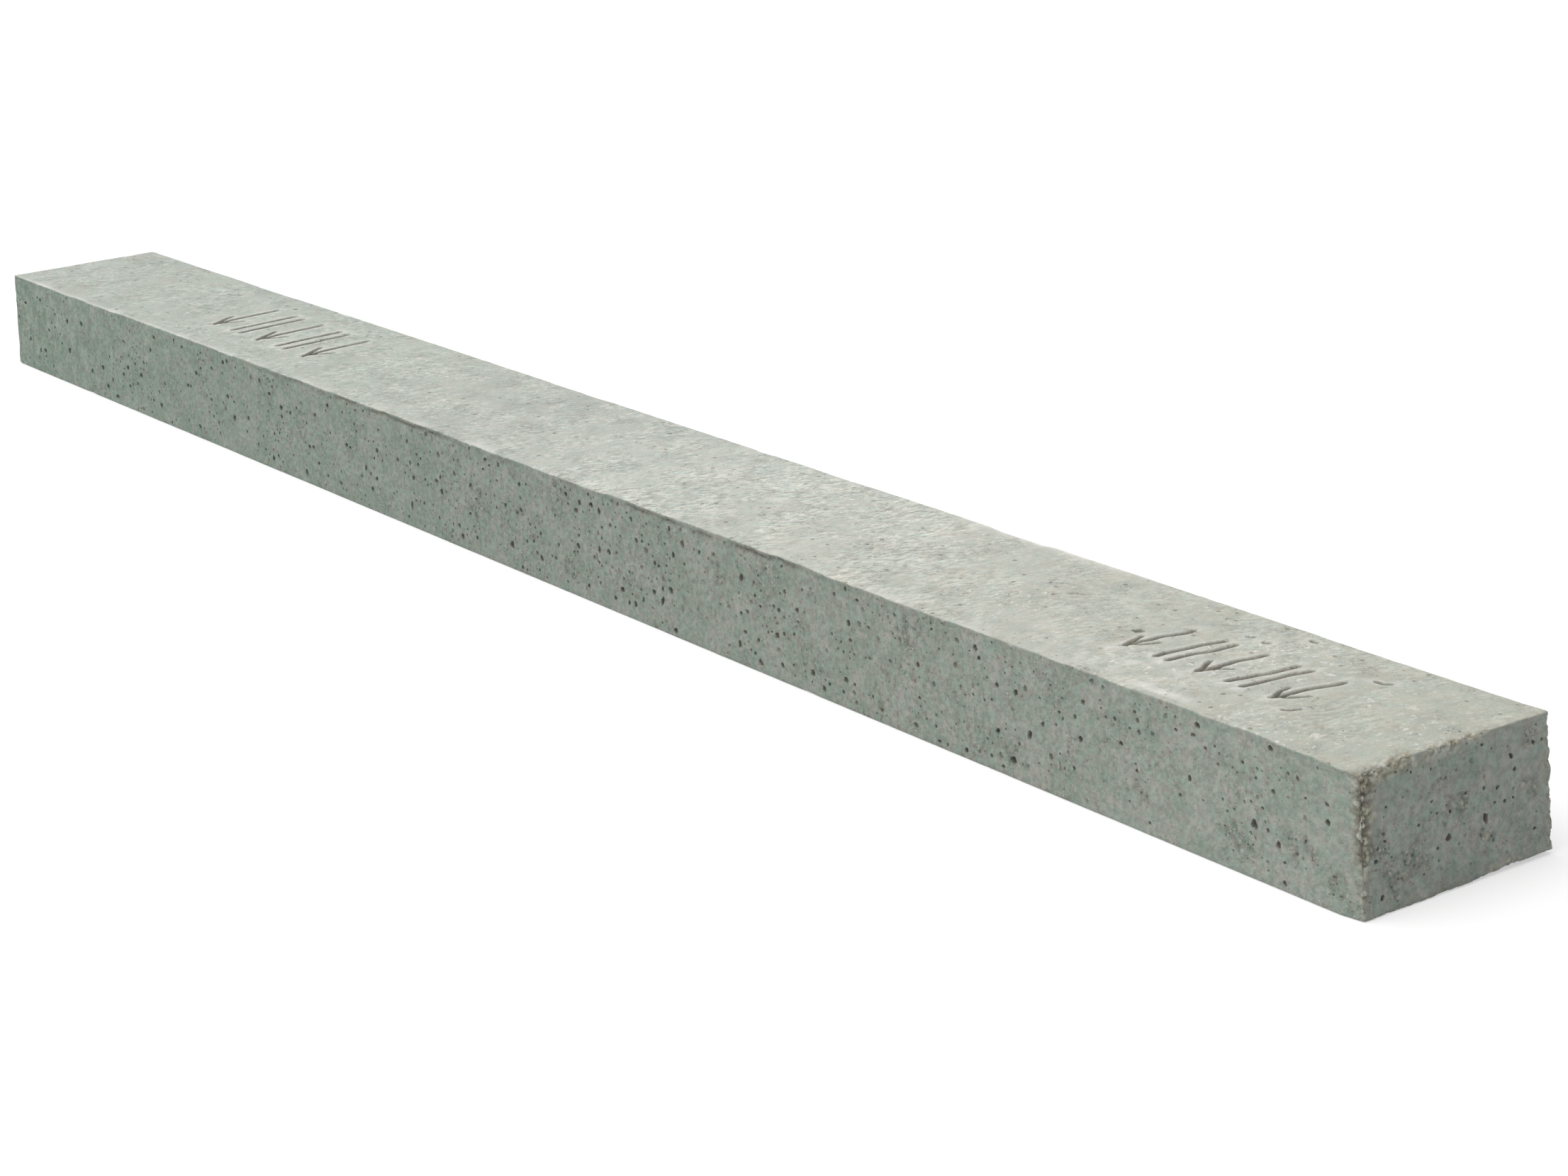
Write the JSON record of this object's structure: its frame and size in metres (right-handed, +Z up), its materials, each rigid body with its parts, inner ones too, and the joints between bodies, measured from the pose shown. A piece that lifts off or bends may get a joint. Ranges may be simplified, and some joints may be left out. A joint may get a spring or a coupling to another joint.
{
  "type": "precast concrete lintel",
  "caption": "Plain precast reinforced concrete lintel bar with a trowelled marked face, pitted cast sides, slightly leaning ends and a welded bar ladder held on spacers inside.",
  "frame": {"origin": "middle of the base, the face without marks that the bar lies on", "axes": "+X along the bar, +Y across it towards the rear side, +Z up from the base to the marked trowelled face"},
  "size_m": [1.4998, 0.123, 0.071],
  "materials": {
    "cast_concrete": "matte",
    "ribbed_bar_steel": "satin",
    "drawn_wire_steel": "satin",
    "fibre_concrete": "matte"
  },
  "bodies": {
    "root": {"concrete_body": "cast_concrete", "cross_wire_1": "drawn_wire_steel", "cross_wire_2": "drawn_wire_steel", "cross_wire_3": "drawn_wire_steel", "cross_wire_4": "drawn_wire_steel", "cross_wire_5": "drawn_wire_steel", "cross_wire_6": "drawn_wire_steel", "cross_wire_7": "drawn_wire_steel", "cross_wire_8": "drawn_wire_steel", "spacer_front_1": "fibre_concrete", "spacer_front_2": "fibre_concrete", "spacer_front_3": "fibre_concrete", "spacer_front_4": "fibre_concrete", "spacer_rear_1": "fibre_concrete", "spacer_rear_2": "fibre_concrete", "spacer_rear_3": "fibre_concrete", "spacer_rear_4": "fibre_concrete", "tension_bar_front": "ribbed_bar_steel", "tension_bar_rear": "ribbed_bar_steel"}
  },
  "joints": []
}
